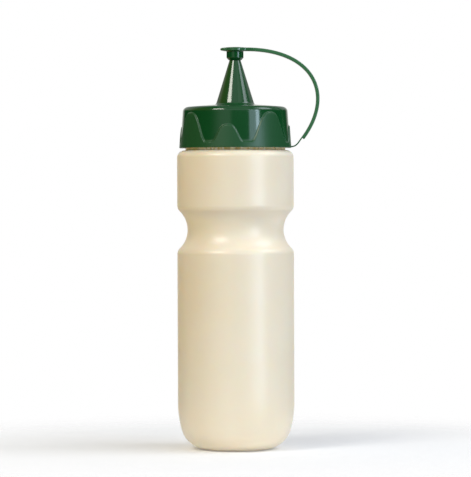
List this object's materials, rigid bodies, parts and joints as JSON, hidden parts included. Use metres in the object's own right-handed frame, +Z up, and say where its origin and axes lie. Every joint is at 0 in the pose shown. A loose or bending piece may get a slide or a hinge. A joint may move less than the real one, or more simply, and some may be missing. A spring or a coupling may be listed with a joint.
{
  "type": "mayonnaise squeeze bottle",
  "caption": "Round squeeze bottle of cream plastic with a finger groove at its waist, a wavy green screw cap with a cone nozzle, and a tip cap held on by a looped strap",
  "frame": {"origin": "on the bottle's axis, at the middle of the flat foot it stands on", "axes": "+Z up along the bottle's axis; +X towards the side where the strap loops out; +Y to the back"},
  "size_m": [0.0795, 0.065, 0.2241],
  "materials": {
    "bottle": "satin moulded cream plastic",
    "cap": "glossy moulded deep green plastic"
  },
  "bodies": {
    "root": {"bottle": "bottle", "cap": "cap", "tip_cap": "cap"}
  },
  "joints": []
}
